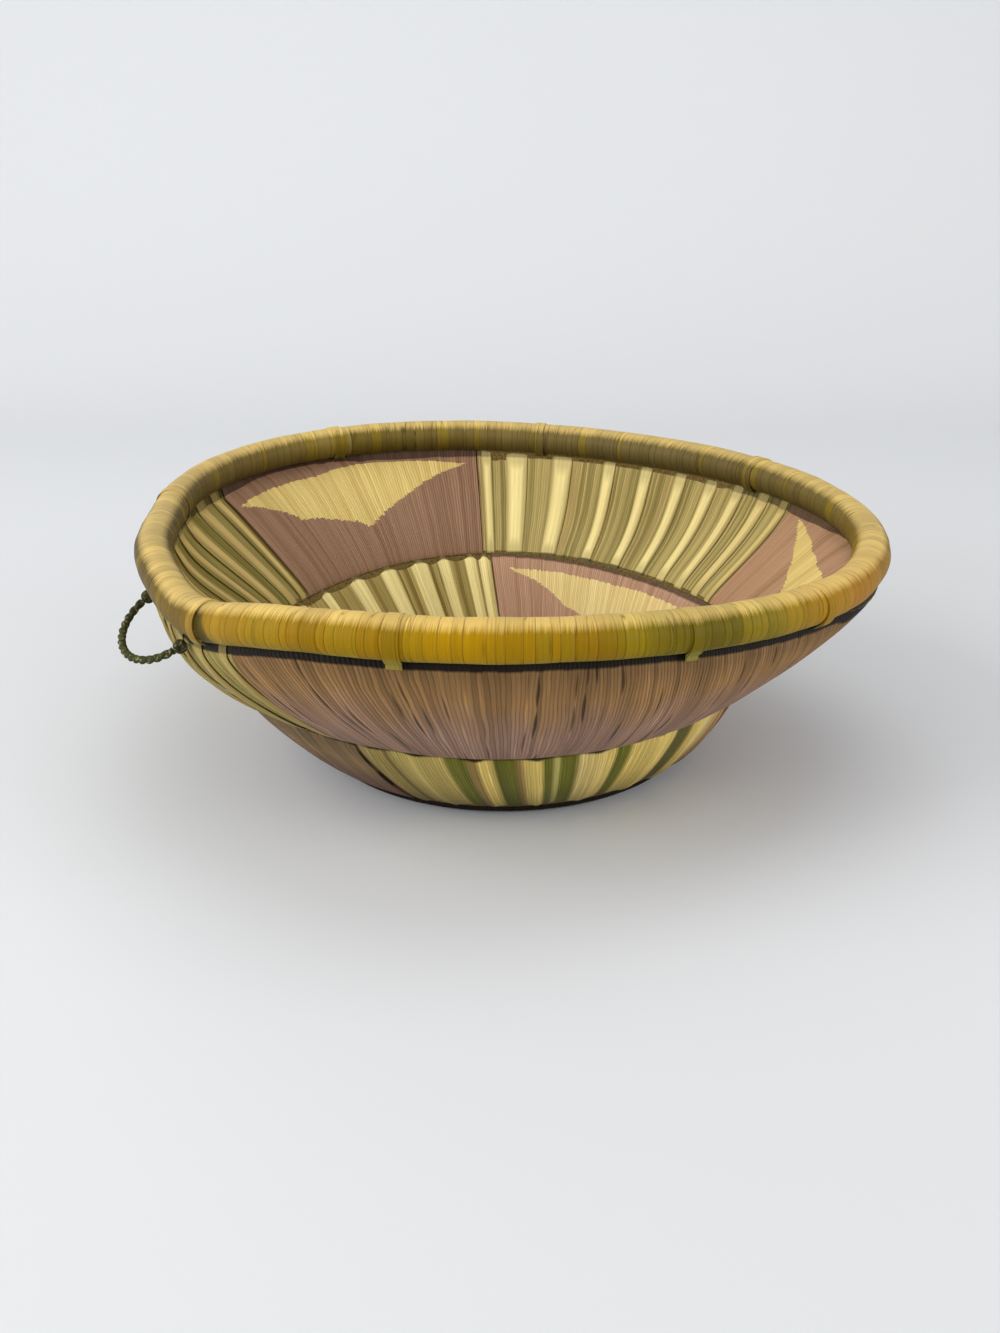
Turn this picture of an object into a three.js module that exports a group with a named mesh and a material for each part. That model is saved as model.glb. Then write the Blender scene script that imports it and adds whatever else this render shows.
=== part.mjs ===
// A coiled bowl basket: broad flat coils of fibre, each bound with palm strips, under a round rim.
// Millimetres, +Z up. The origin is the centre of the base, on the surface that the basket stands on.
// Angles are degrees round the bowl: 0 is the right side, 90 the back, 180 the left, 270 the front.
import * as THREE from "three";

// Driving dimensions of the bowl
const RIM_RADIUS = 162; // middle of the rim roll
const RIM_HEIGHT = 107; // middle of the rim roll, above the table
const ROLL_RADIUS = 8.4; // the round rim, with its wrap
const SEAM_RADIUS = 123; // where the upper coil is sewn to the lower one
const SEAM_HEIGHT = 48;
const FOOT_RADIUS = 91.6; // last turn of the lower coil, just above the table
const BASE_HOLE_RADIUS = 29; // inside of the flat base coil, round the centre button
const COIL_THICKNESS = 8.4; // a flat panel from its inside to its outside

// Slopes and curves of the coils, as they run down from the rim
const UPPER_SLOPE = 38.6; // degrees from level where the upper coil meets the seam
const LOWER_SLOPE = 50; // degrees from level where the lower coil leaves the seam
const LOWER_SAG = 1.5; // how far the lower coil bows outwards
const UPRIGHT_EDGE = 5; // the wall turns upright over at least this height, below the rim
const WALL_TUCK = 1.5; // the wall stands this far inside the middle of the rim roll
const FLAT_CROWN = 0.5; // a flat panel is this much fuller at its middle

// Handmade irregularities
// Cosine and sine parts of one, two and three waves to a turn: the first drifts or tilts a curve, the
// second makes it oval or sway, the third gives it three gentle corners.
const RIM_SWAY = [[-0.2, -1.1], [-1.2, -8.1], [11.4, 3]]; // in and out
const RIM_LEVEL = [[-1.8, -0.2], [-3.6, 3.6], [0.1, 1.1]]; // up and down
const SEAM_SWAY = [[0.1, -1.8], [-3.3, 0.3], [0.8, -1.3]];
const SEAM_LEVEL = [[1.5, -1.3], [-1, 1], [1.3, -1.7]];
const CORNER_SPREAD = 16; // the front left corner, where the roll was bent most
const CORNER_DIP = 9.8; // it sinks here
const CORNER_DIP_ANGLE = 223;
const CORNER_BULGE = 4.5; // and stands out here
const CORNER_BULGE_ANGLE = 197;
const RIM_DRIFT = 6; // the rim and the seam sit to the left of the base

// Layers on the fibre core
const WRAP = 1.6; // strips on a flat panel
const UNDERWRAP = 0.7; // strips below the ribs, in a ribbed panel
const RIB_CREST = 1.2; // a rib stands this far above a flat panel
const RIB_EDGE = 0.3; // thickness of a rib at its two edges
const RIM_WRAP = 1.3;
const CORE_GAP = 0.5; // between a core and its wrap
const RIB_GAP = 0.45; // between a rib and the strips below it
const LASHING_GAP = 0.55; // between a lashing and the roll and wall that it ties
const SEAT_GAP = 0.4; // between pieces that rest on each other
const JOINT_GAP = 0.4; // between two panels of one coil

// Panels and ribs of each coil, read round the bowl
const RIB_SPAN = 2.7; // degrees
const WIDE_RIB_SPAN = 4;
const THIN_RIB_SPAN = 2;
const UPPER_RIGHT = {
  from: 21.8,
  to: 92.3,
  ribs: [23.5, 29, 35.6, 42.2, 49.3, 57, 65.3, 75.6, 84.3, 90.3],
  wide: [75.6, 84.3],
};
const UPPER_LEFT = {
  from: 143.5,
  to: 243.5,
  ribs: [145.5, 149.8, 155, 160.3, 166, 172, 178.5, 185, 192.5, 200.5, 209, 217.5, 226, 234, 241.5],
  wide: [],
};
const LOWER_BACK = {
  from: 90,
  to: 163.7,
  ribs: [92, 95.6, 102.8, 109.3, 118.2, 128, 138.7, 148.4, 158],
  wide: [109.3, 118.2, 128],
};
const LOWER_FRONT = {
  from: 245,
  to: 329,
  ribs: [248, 256.6, 267.3, 278.5, 290.3, 304.5, 315.5, 325.5],
  wide: [248, 256.6, 290.3, 304.5, 315.5],
};
const UPPER_FRONT_END = UPPER_RIGHT.from + 360;
const LOWER_RIGHT_END = LOWER_BACK.from + 360;

// The strips of the upper coil lean: from its lower edge to its upper edge they shift by these angles.
const UPPER_LEAN = [
  [22, -1.5], [30, -2.5], [40, -3.8], [50, -4], [60, -3.3], [75, -1.8], [85, 0.5], [92, 0.8], [143, 2.8],
  [150, 5], [160, 10.8], [166, 12.8], [172, 13], [180, 9.8], [200, 0.5], [215, -4], [230, -8], [243, -9],
  [275, 0], [360, 0],
];

// Rim wraps change colour at these angles
const RIM_FRONT_START = 230;
const RIM_RIGHT_START = 303;
const RIM_BACK_START = 390;
const RIM_LEFT_START = 477;

// Lashings that tie the roll to the wall, each between two ribs
const LASHING_ANGLES = [259, 297.5, 322.5, 29.5, 79.4, 119.3, 166.8, 228.5];
const LASHING_WIDTH = 5.5;
const LASHING_THICKNESS = 0.8;
const LASHING_TAIL = 2; // it reaches this far down the wall

// The hanging loop, a twisted cord between two knots under the rim
const LOOP_ANGLES = [204.7, 230]; // at the upper edge of the coil these lean like its strips
const LOOP_KNOT_DROPS = [0, 0]; // each knot's place down the coil, as a share of its width
const LOOP_CORD = 3.5;
const LOOP_REACH = 17;
const LOOP_DROOP = 10; // its outer end lies this much lower than its knots
const LOOP_STEPS = 20;
const KNOT_RADIUS = 2.6;

// Facets
const UPPER_STEPS = 72; // round the bowl
const LOWER_STEPS = 48;
const RIM_STEPS = 72;
const BASE_STEPS = 24;
const UPPER_STATIONS = 4; // from one edge of a coil to the other
const LOWER_STATIONS = 3;
const BASE_STATIONS = 2;
const NOSE_ANGLE = 30; // a coil's blunt edge, each side of its middle line
const ROLL_SIDES = 8;

const HALF = COIL_THICKNESS / 2;
const CORE_HALF = HALF - WRAP - CORE_GAP;
const WRAP_INSIDE = CORE_HALF + CORE_GAP;
const VALLEY = WRAP_INSIDE + UNDERWRAP;
const RIB_INSIDE = VALLEY + RIB_GAP;

const radians = THREE.MathUtils.degToRad;
const slope = (degrees) => new THREE.Vector2(Math.cos(radians(degrees)), Math.sin(radians(degrees)));

const COLOURS = {
  core: 0xb59a5c,
  mauve: 0x8d6a55,
  olive: 0x8a8048,
  cream: 0xe6d38a,
  golden: 0xa88a1e,
  rimOlive: 0x8e7b35,
  cord: 0x4a4a33,
};

const basket = new THREE.Group();

function addPiece(name, geometry, colour) {
  const material = new THREE.MeshStandardMaterial({ color: colour, roughness: 0.7, metalness: 0 });
  const mesh = new THREE.Mesh(geometry, material);
  mesh.name = name;
  basket.add(mesh);
  return mesh;
}

// Handmade shape of the rim and of the seam, at an angle in degrees

function waves(parts, angle) {
  return parts.reduce((sum, [cosine, sine], i) => {
    const turn = radians(angle) * (i + 1);
    return sum + cosine * Math.cos(turn) + sine * Math.sin(turn);
  }, 0);
}

function corner(angle, middle) {
  const away = THREE.MathUtils.euclideanModulo(angle - middle + 180, 360) - 180;
  return Math.exp(-((away / CORNER_SPREAD) ** 2));
}

function rimPoint(angle) {
  const sway = waves(RIM_SWAY, angle) + CORNER_BULGE * corner(angle, CORNER_BULGE_ANGLE);
  const level = waves(RIM_LEVEL, angle) - CORNER_DIP * corner(angle, CORNER_DIP_ANGLE);
  return new THREE.Vector2(RIM_RADIUS + sway, RIM_HEIGHT + level);
}

function seamPoint(angle) {
  return new THREE.Vector2(SEAM_RADIUS + waves(SEAM_SWAY, angle), SEAM_HEIGHT + waves(SEAM_LEVEL, angle));
}

// How far a strip of the upper coil has shifted at the coil's upper edge.
function upperLean(angle) {
  const turned = THREE.MathUtils.euclideanModulo(angle, 360);
  const last = UPPER_LEAN.at(-1);
  let [from, lean] = [last[0] - 360, last[1]];
  for (const [to, next] of UPPER_LEAN) {
    if (turned <= to) return THREE.MathUtils.mapLinear(turned, from, to, lean, next);
    [from, lean] = [to, next];
  }
  return lean;
}

// Turns a point of an upright section (radius, height) into a point of the basket.
function place(point, angle, drift) {
  const t = radians(angle);
  return [point.x * Math.cos(t) - drift, point.x * Math.sin(t), point.y];
}

// Middle lines of the coils in an upright section, from the upper edge to the lower or inner edge

function upperLine(angle) {
  const rim = rimPoint(angle);
  const top = new THREE.Vector2(rim.x - WALL_TUCK, rim.y - ROLL_RADIUS - SEAT_GAP - HALF);
  const bottom = seamPoint(angle).addScaledVector(slope(UPPER_SLOPE), HALF + SEAT_GAP / 2);
  const steep = (top.x - bottom.x) * Math.tan(radians(UPPER_SLOPE));
  const rise = Math.min(steep, top.y - UPRIGHT_EDGE - bottom.y);
  const bend = slope(UPPER_SLOPE).multiplyScalar(rise / Math.sin(radians(UPPER_SLOPE))).add(bottom);
  return new THREE.QuadraticBezierCurve(top, bend, bottom);
}

function lowerLine(angle) {
  const top = seamPoint(angle).addScaledVector(slope(LOWER_SLOPE), -HALF - SEAT_GAP / 2);
  const bottom = footPoint();
  const outward = new THREE.Vector2(bottom.y - top.y, top.x - bottom.x).normalize().negate();
  const bend = top.clone().add(bottom).multiplyScalar(0.5).addScaledVector(outward, 2 * LOWER_SAG);
  return new THREE.QuadraticBezierCurve(top, bend, bottom);
}

// The lower coil's last turn lies in the angle above the base coil's outer edge.
function footPoint() {
  return new THREE.Vector2(FOOT_RADIUS, HALF + FOOT_RISE);
}

const FOOT_RISE = 6; // of the lower coil's edge above the base coil's
const FOOT_PULL = 0.3; // the base coil is sewn this much closer than its round edge would lie
const FOOT_STEP = Math.sqrt((COIL_THICKNESS + SEAT_GAP) ** 2 - FOOT_RISE ** 2) - FOOT_PULL;
const BASE_EDGE_RADIUS = FOOT_RADIUS - FOOT_STEP;

function baseLine() {
  const outer = new THREE.Vector2(BASE_EDGE_RADIUS, HALF);
  const nose = HALF * Math.cos(radians(NOSE_ANGLE));
  const inner = new THREE.Vector2(BASE_HOLE_RADIUS + SEAT_GAP + nose, HALF);
  return new THREE.LineCurve(outer, inner);
}

const UPPER = {
  line: upperLine,
  lean: upperLean,
  drift: () => RIM_DRIFT,
  steps: UPPER_STEPS,
  stations: UPPER_STATIONS,
  joints: [UPPER_RIGHT.from, UPPER_RIGHT.to, UPPER_LEFT.from, UPPER_LEFT.to],
};
const LOWER = {
  line: lowerLine,
  lean: () => 0,
  drift: (t) => RIM_DRIFT * (1 - t),
  steps: LOWER_STEPS,
  stations: LOWER_STATIONS,
  joints: [LOWER_BACK.from, LOWER_BACK.to, LOWER_FRONT.from, LOWER_FRONT.to],
};
const BASE = {
  line: baseLine,
  lean: () => 0,
  drift: () => 0,
  steps: BASE_STEPS,
  stations: BASE_STATIONS,
  joints: [],
};

// Points round a coil's section at one angle. `half` gives the distance from the middle line to a face,
// for a place t from 0 at one edge to 1 at the other. A core has square edges, a wrap has blunt noses.
function coilSection(coil, angle, half, noses = true) {
  const ring = [];
  const put = (t, across, along) => {
    const turned = angle + coil.lean(angle) * (1 - t);
    const line = coil.line(turned);
    const tangent = line.getTangent(t);
    const outward = new THREE.Vector2(-tangent.y, tangent.x);
    const point = line.getPoint(t).addScaledVector(outward, across).addScaledVector(tangent, along);
    ring.push(place(point, turned, coil.drift(t)));
  };
  const face = (side, reverse) => {
    for (let i = 0; i < coil.stations; i++) {
      const step = i / (coil.stations - 1);
      const t = reverse ? 1 - step : step;
      put(t, side * half(t), 0);
    }
  };
  const bluntness = slope(NOSE_ANGLE);
  const nose = (t, direction, side) => {
    put(t, side * bluntness.y * half(t), direction * bluntness.x * half(t));
    put(t, -side * bluntness.y * half(t), direction * bluntness.x * half(t));
  };
  face(1, false);
  if (noses) nose(1, 1, 1);
  face(-1, true);
  if (noses) nose(0, -1, -1);
  return ring;
}

// Angles of the section planes: the coil's own even steps, and the two ends of the piece.
function stepsBetween(from, to, count) {
  const step = 360 / count;
  const margin = step / 8;
  const angles = [from];
  for (let k = Math.ceil((from + margin) / step); k * step < to - margin; k++) angles.push(k * step);
  angles.push(to);
  return angles;
}

function fullTurn(count) {
  return Array.from({ length: count }, (_, k) => (k * 360) / count);
}

// A core bends where its panels meet too, so that it stays in the middle of each.
function coreAngles(coil) {
  const margin = 360 / coil.steps / 8;
  const even = fullTurn(coil.steps).filter((a) => coil.joints.every((j) => Math.abs(a - j) > margin));
  return [...even, ...coil.joints].sort((a, b) => a - b);
}

// Solids from rings of points

function solid(points, faces) {
  let volume = 0;
  const corner = (i) => new THREE.Vector3(...points[i]);
  for (let i = 0; i < faces.length; i += 3) {
    volume += corner(faces[i]).dot(corner(faces[i + 1]).cross(corner(faces[i + 2])));
  }
  const geometry = new THREE.BufferGeometry();
  geometry.setAttribute("position", new THREE.Float32BufferAttribute(points.flat(), 3));
  geometry.setIndex(volume > 0 ? faces : faces.reverse());
  geometry.computeVertexNormals();
  return geometry;
}

// Joins each ring to the next. `first` is the number of the first ring's first point.
function skin(faces, first, rings, size, closed, flip) {
  const last = closed ? rings : rings - 1;
  for (let r = 0; r < last; r++) {
    for (let i = 0; i < size; i++) {
      const a = first + r * size + i;
      const b = first + r * size + ((i + 1) % size);
      const c = first + ((r + 1) % rings) * size + i;
      const d = first + ((r + 1) % rings) * size + ((i + 1) % size);
      if (flip) faces.push(a, c, b, b, c, d);
      else faces.push(a, b, c, b, d, c);
    }
  }
}

// A solid ring, such as a core.
function closedRing(rings) {
  const faces = [];
  skin(faces, 0, rings.length, rings[0].length, true, false);
  return solid(rings.flat(), faces);
}

// A sleeve that goes round a coil from one angle to another, open along its bore.
function sleeve(outside, inside) {
  const size = outside[0].length;
  const faces = [];
  const bore = outside.length * size;
  skin(faces, 0, outside.length, size, false, false);
  skin(faces, bore, inside.length, size, false, true);
  for (let i = 0; i < size; i++) {
    const j = (i + 1) % size;
    faces.push(i, bore + i, j, j, bore + i, bore + j);
    const a = (outside.length - 1) * size;
    const b = bore + (inside.length - 1) * size;
    faces.push(a + i, a + j, b + i, a + j, b + j, b + i);
  }
  return solid([...outside.flat(), ...inside.flat()], faces);
}

// Coils: a core, flat wraps, underwraps with separate ribs, and wraps with their ribs worked in

const flatFace = (t) => HALF + FLAT_CROWN * Math.sin(Math.PI * t);
const ribCrest = (t) => HALF + RIB_CREST * Math.sin(Math.PI * t);
const constant = (value) => () => value;

function addCore(name, coil) {
  const rings = coreAngles(coil).map((a) => coilSection(coil, a, constant(CORE_HALF), false));
  addPiece(name, closedRing(rings), COLOURS.core);
}

// Half of the gap between two panels, as an angle at the coil's narrower edge.
function gapAngle(coil, from) {
  const narrow = coil.line(from).getPoint(1).x;
  return THREE.MathUtils.radToDeg(JOINT_GAP / 2 / narrow);
}

function wrapSleeve(coil, from, to, faceAt) {
  const gap = gapAngle(coil, from);
  const angles = stepsBetween(from + gap, to - gap, coil.steps);
  const outside = angles.map((a) => coilSection(coil, a, faceAt));
  const inside = angles.map((a) => coilSection(coil, a, constant(WRAP_INSIDE)));
  return sleeve(outside, inside);
}

function ribSpan(panel, rib) {
  if (panel.wide.includes(rib)) return WIDE_RIB_SPAN;
  const atEnd = rib === panel.ribs[0] || rib === panel.ribs.at(-1);
  return atEnd ? THIN_RIB_SPAN : RIB_SPAN;
}

// A rib rises from one edge to a flat crest and falls to its other edge.
function ribStations(panel, rib) {
  const reach = ribSpan(panel, rib) / 2;
  return [rib - reach, rib - reach / 3, rib + reach / 3, rib + reach];
}

function addRib(name, coil, panel, rib) {
  const stations = ribStations(panel, rib);
  const edge = constant(RIB_INSIDE + RIB_EDGE);
  const heights = [edge, ribCrest, ribCrest, edge];
  const outside = stations.map((a, i) => coilSection(coil, a, heights[i]));
  const inside = [stations[0], stations[3]].map((a) => coilSection(coil, a, constant(RIB_INSIDE)));
  addPiece(name, sleeve(outside, inside), COLOURS.cream);
}

// The strips below the ribs follow the ribs' own section planes.
function underwrapSleeve(coil, panel) {
  const gap = gapAngle(coil, panel.from);
  const [from, to] = [panel.from + gap, panel.to - gap];
  const edges = panel.ribs.flatMap((rib) => {
    const stations = ribStations(panel, rib);
    return [stations[0], stations[3]];
  });
  const angles = [from, ...edges.filter((a) => a > from && a < to), to];
  const outside = angles.map((a) => coilSection(coil, a, constant(VALLEY)));
  const bore = stepsBetween(from, to, coil.steps);
  const inside = bore.map((a) => coilSection(coil, a, constant(WRAP_INSIDE)));
  return sleeve(outside, inside);
}

function ribbedSleeve(coil, panel) {
  const gap = gapAngle(coil, panel.from);
  const [from, to] = [panel.from + gap, panel.to - gap];
  const stations = panel.ribs.flatMap((rib) =>
    ribStations(panel, rib).map((angle, i) => ({ angle, height: i % 3 ? ribCrest : constant(VALLEY) })),
  );
  const within = stations.filter((s) => s.angle > from && s.angle < to);
  const ends = [from, to].map((angle) => ({ angle, height: constant(VALLEY) }));
  const profile = [ends[0], ...within, ends[1]];
  const outside = profile.map((s) => coilSection(coil, s.angle, s.height));
  const bore = stepsBetween(from, to, coil.steps);
  const inside = bore.map((a) => coilSection(coil, a, constant(WRAP_INSIDE)));
  return sleeve(outside, inside);
}

function addUpperCoil() {
  addCore("upper_coil_core", UPPER);
  const panels = { upper_right: UPPER_RIGHT, upper_left: UPPER_LEFT };
  for (const [side, panel] of Object.entries(panels)) {
    addPiece(`${side}_underwrap`, underwrapSleeve(UPPER, panel), COLOURS.olive);
    panel.ribs.forEach((rib, i) => {
      addRib(`${side}_rib_${String(i + 1).padStart(2, "0")}`, UPPER, panel, rib);
    });
  }
  const back = wrapSleeve(UPPER, UPPER_RIGHT.to, UPPER_LEFT.from, flatFace);
  addPiece("upper_back_flat_wrap", back, COLOURS.mauve);
  const front = wrapSleeve(UPPER, UPPER_LEFT.to, UPPER_FRONT_END, flatFace);
  addPiece("upper_front_flat_wrap", front, COLOURS.mauve);
}

function addLowerCoil() {
  addCore("lower_coil_core", LOWER);
  addPiece("lower_back_ribbed_wrap", ribbedSleeve(LOWER, LOWER_BACK), COLOURS.cream);
  addPiece("lower_front_ribbed_wrap", ribbedSleeve(LOWER, LOWER_FRONT), COLOURS.cream);
  const left = wrapSleeve(LOWER, LOWER_BACK.to, LOWER_FRONT.from, flatFace);
  addPiece("lower_left_flat_wrap", left, COLOURS.mauve);
  const right = wrapSleeve(LOWER, LOWER_FRONT.to, LOWER_RIGHT_END, flatFace);
  addPiece("lower_right_flat_wrap", right, COLOURS.mauve);
}

// The base: a flat coil round a turned-in centre button

function addBase() {
  addCore("base_coil_core", BASE);
  addPiece("base_back_wrap", wrapSleeve(BASE, 0, 180, constant(HALF)), COLOURS.mauve);
  addPiece("base_front_wrap", wrapSleeve(BASE, 180, 360, constant(HALF)), COLOURS.mauve);
  const chamfer = HALF / 3;
  const profile = [
    [0, 0],
    [BASE_HOLE_RADIUS - chamfer, 0],
    [BASE_HOLE_RADIUS, chamfer],
    [BASE_HOLE_RADIUS, COIL_THICKNESS - chamfer],
    [BASE_HOLE_RADIUS - HALF, COIL_THICKNESS],
    [0, COIL_THICKNESS + FLAT_CROWN],
  ].map(([x, y]) => new THREE.Vector2(x, y));
  const button = new THREE.LatheGeometry(profile, BASE_STEPS);
  button.rotateX(Math.PI / 2);
  addPiece("base_centre", button, COLOURS.cream);
}

// The rim: a round roll in four lengths of wrap, tied down by lashings

function rollSection(angle, radius) {
  const centre = rimPoint(angle);
  return Array.from({ length: ROLL_SIDES }, (_, i) => {
    const turn = slope((i * 360) / ROLL_SIDES);
    return place(centre.clone().addScaledVector(turn, -radius), angle, RIM_DRIFT);
  });
}

function addRimWrap(name, from, to, colour) {
  const gap = THREE.MathUtils.radToDeg(JOINT_GAP / 2 / (0.85 * RIM_RADIUS));
  const angles = stepsBetween(from + gap, to - gap, RIM_STEPS);
  const outside = angles.map((a) => rollSection(a, ROLL_RADIUS));
  const inside = angles.map((a) => rollSection(a, ROLL_RADIUS - RIM_WRAP));
  addPiece(name, sleeve(outside, inside), colour);
}

// Where a lashing meets the roll: its two tails, and the turns of the roll at which it leaves them.
function lashingEnds(angle, offset) {
  const roll = rimPoint(angle);
  const clear = LASHING_GAP + offset;
  const radius = ROLL_RADIUS + clear;
  const outer = tailPoints(angle, 1, clear);
  const inner = tailPoints(angle, -1, clear);
  const start = Math.asin((outer[1].x - roll.x) / radius) - Math.PI / 2;
  const end = (3 * Math.PI) / 2 - Math.asin((roll.x - inner[1].x) / radius);
  return { roll, radius, outer, inner, start, end };
}

// The corners of the roll's facets between a lashing's two tails.
function cornersUnder(angle) {
  const { start, end } = lashingEnds(angle, 0);
  const side = (2 * Math.PI) / ROLL_SIDES;
  const corners = [];
  for (let k = Math.ceil(start / side + 0.3); k < end / side - 0.3; k++) corners.push(k * side);
  return corners;
}

// A lashing's outline from the outside of the wall, over the roll, to the inside of the wall.
function lashingOutline(angle, offset, corners) {
  const { roll, radius, outer, inner, start, end } = lashingEnds(angle, offset);
  const arc = [start, ...corners, end].map((turn) =>
    new THREE.Vector2(Math.cos(turn), Math.sin(turn)).multiplyScalar(radius).add(roll),
  );
  const outline = [...outer, ...arc, inner[1], inner[0]];
  return outline.map((p) => place(p, angle, RIM_DRIFT));
}

// The lower end of a lashing on one face of the wall, and the place where it leaves the wall's top.
function tailPoints(angle, side, clear) {
  const line = upperLine(angle);
  const facePoint = (t) => {
    const tangent = line.getTangent(t);
    const across = side * (flatFace(t) + clear);
    return line.getPoint(t).addScaledVector(new THREE.Vector2(-tangent.y, tangent.x), across);
  };
  const [top, next] = [facePoint(0), facePoint(1 / (UPPER_STATIONS - 1))];
  const share = LASHING_TAIL / top.distanceTo(next);
  return [top.clone().lerp(next, share), top];
}

function addLashing(name, angle) {
  const reach = THREE.MathUtils.radToDeg(LASHING_WIDTH / 2 / RIM_RADIUS);
  const corners = cornersUnder(angle);
  const rings = [angle - reach, angle + reach].map((a) => [
    ...lashingOutline(a, LASHING_THICKNESS, corners),
    ...lashingOutline(a, 0, corners).reverse(),
  ]);
  const size = rings[0].length;
  const faces = [];
  skin(faces, 0, rings.length, size, false, false);
  for (let i = 0; i + 1 < size / 2; i++) {
    const j = size - 1 - i;
    faces.push(i, j, i + 1, i + 1, j, j - 1);
    faces.push(size + i, size + i + 1, size + j, size + i + 1, size + j - 1, size + j);
  }
  addPiece(name, solid(rings.flat(), faces), COLOURS.golden);
}

function addRim() {
  const coreRadius = ROLL_RADIUS - RIM_WRAP - CORE_GAP;
  const joints = [RIM_FRONT_START, RIM_RIGHT_START, RIM_BACK_START - 360, RIM_LEFT_START - 360];
  const angles = coreAngles({ steps: RIM_STEPS, joints });
  const rings = angles.map((a) => rollSection(a, coreRadius));
  addPiece("rim_core", closedRing(rings), COLOURS.core);
  addRimWrap("rim_front_wrap", RIM_FRONT_START, RIM_RIGHT_START, COLOURS.golden);
  addRimWrap("rim_right_wrap", RIM_RIGHT_START, RIM_BACK_START, COLOURS.rimOlive);
  addRimWrap("rim_back_wrap", RIM_BACK_START, RIM_LEFT_START, COLOURS.rimOlive);
  addRimWrap("rim_left_wrap", RIM_LEFT_START, RIM_FRONT_START + 360, COLOURS.golden);
  LASHING_ANGLES.forEach((angle, i) => addLashing(`rim_lashing_${i + 1}`, angle));
}

// The hanging loop

// A knot sits on the outside of the wall, in the groove under the roll and between two ribs.
function knotCentre(strip, drop) {
  const angle = strip + upperLean(strip) * (1 - drop);
  const line = upperLine(angle);
  const tangent = line.getTangent(drop);
  const out = new THREE.Vector2(-tangent.y, tangent.x).multiplyScalar(VALLEY + SEAT_GAP + KNOT_RADIUS);
  return new THREE.Vector3(...place(line.getPoint(drop).add(out), angle, RIM_DRIFT));
}

function addHangingLoop() {
  const [rear, front] = LOOP_ANGLES.map((angle, i) => knotCentre(angle, LOOP_KNOT_DROPS[i]));
  [["loop_knot_rear", rear], ["loop_knot_front", front]].forEach(([name, centre]) => {
    const knot = addPiece(name, new THREE.SphereGeometry(KNOT_RADIUS, 10, 6), COLOURS.cord);
    knot.position.copy(centre);
  });
  const chord = front.clone().sub(rear);
  const middle = rear.clone().add(front).multiplyScalar(0.5);
  const across = chord.clone().normalize();
  const out = across.clone().cross(new THREE.Vector3(0, 0, 1)).normalize();
  if (out.dot(middle) < 0) out.negate();
  out.multiplyScalar(LOOP_REACH).add(new THREE.Vector3(0, 0, -LOOP_DROOP));
  const start = Math.asin((KNOT_RADIUS + SEAT_GAP) / out.length());
  const points = [];
  for (let i = 0; i <= LOOP_STEPS; i++) {
    const turn = THREE.MathUtils.lerp(start, Math.PI - start, i / LOOP_STEPS);
    const point = middle.clone().addScaledVector(chord, -Math.cos(turn) / 2);
    points.push(point.addScaledVector(out, Math.sin(turn)));
  }
  const route = new THREE.CatmullRomCurve3(points);
  const section = new THREE.Shape();
  section.absarc(0, 0, LOOP_CORD / 2, 0, 2 * Math.PI);
  const settings = { steps: LOOP_STEPS, extrudePath: route, curveSegments: 4 };
  addPiece("hanging_loop", new THREE.ExtrudeGeometry(section, settings), COLOURS.cord);
}

addBase();
addLowerCoil();
addUpperCoil();
addRim();
addHangingLoop();

export default basket;
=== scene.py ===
"""A coiled bowl basket wrapped in palm strips. Metres, +Z up, origin at the middle of its underside."""
import math
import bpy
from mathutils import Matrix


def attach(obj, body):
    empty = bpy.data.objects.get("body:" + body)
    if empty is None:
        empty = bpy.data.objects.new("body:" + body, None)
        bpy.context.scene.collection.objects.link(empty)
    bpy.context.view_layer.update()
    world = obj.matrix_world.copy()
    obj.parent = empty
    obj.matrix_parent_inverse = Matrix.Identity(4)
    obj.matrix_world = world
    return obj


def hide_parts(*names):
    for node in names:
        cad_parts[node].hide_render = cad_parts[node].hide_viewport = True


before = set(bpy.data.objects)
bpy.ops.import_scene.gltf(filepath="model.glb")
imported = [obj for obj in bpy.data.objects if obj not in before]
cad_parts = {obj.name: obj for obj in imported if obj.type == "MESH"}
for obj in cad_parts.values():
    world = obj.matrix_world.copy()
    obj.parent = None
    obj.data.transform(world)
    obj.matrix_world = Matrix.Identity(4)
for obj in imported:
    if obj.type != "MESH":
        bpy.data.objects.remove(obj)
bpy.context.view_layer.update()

from types import SimpleNamespace
import bpy
import numpy as np
from mathutils import Matrix, Vector

# Camera, fitted to the photograph: its place, its tilt and roll in degrees, its lens and sensor in mm
CAMERA_AT = (-0.0018, -0.6333, 0.2923)
CAMERA_PITCH = 22.2
CAMERA_ROLL = -0.32
LENS = 38.47
SENSOR = 36

# Sizes of the real basket, in metres. Angles round the bowl are degrees from the right side, over the back.
RIM_RADIUS = 0.162
RIM_HEIGHT = 0.107
RIM_DRIFT = 0.006  # how far the rim sits to the left of the base
ROLL_RADIUS = 0.0084
SEAM_RADIUS = 0.123
SEAM_HEIGHT = 0.048
FOOT = (0.0916, 0.0102)
BASE_RADIUS = 0.0888
HALF_WALL = 0.0042
COIL_END = 0.0044  # from the middle of the seam to the end of each coil
COIL_TOP = (-0.0015, -0.013)  # from the middle of the roll to the top of the upper coil
UPPER_SLOPE = 38.6
LOWER_SLOPE = 50
LOWER_BULGE = 0.003
BEND_BELOW_TOP = 0.005  # the least that the upper coil's bend lies below its top
CORE_END = 0.003  # the stretch at a core's ends that is drawn out
# BASE_EDGE is set so that the base's near-black outside, which is painted shade, covers the edge seen under
# the foot
BASE_EDGE = 1.4  # half walls from the underside to the middle of the base, as its colours divide it

# The rim's swelling at the left and its dip at the front left: where, how much, and how wide
SWELLING_AT, SWELLING = 197, 0.0045
DIP_AT, DIP = 223, 0.0098
CORNER_WIDTH = 16

# How far the top and the bottom of each coil are drawn out, past the ends of their solids' curves
REACH = {"upper": (0.0064, 0.0053), "lower": (0.0053, 0.0068)}

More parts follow.
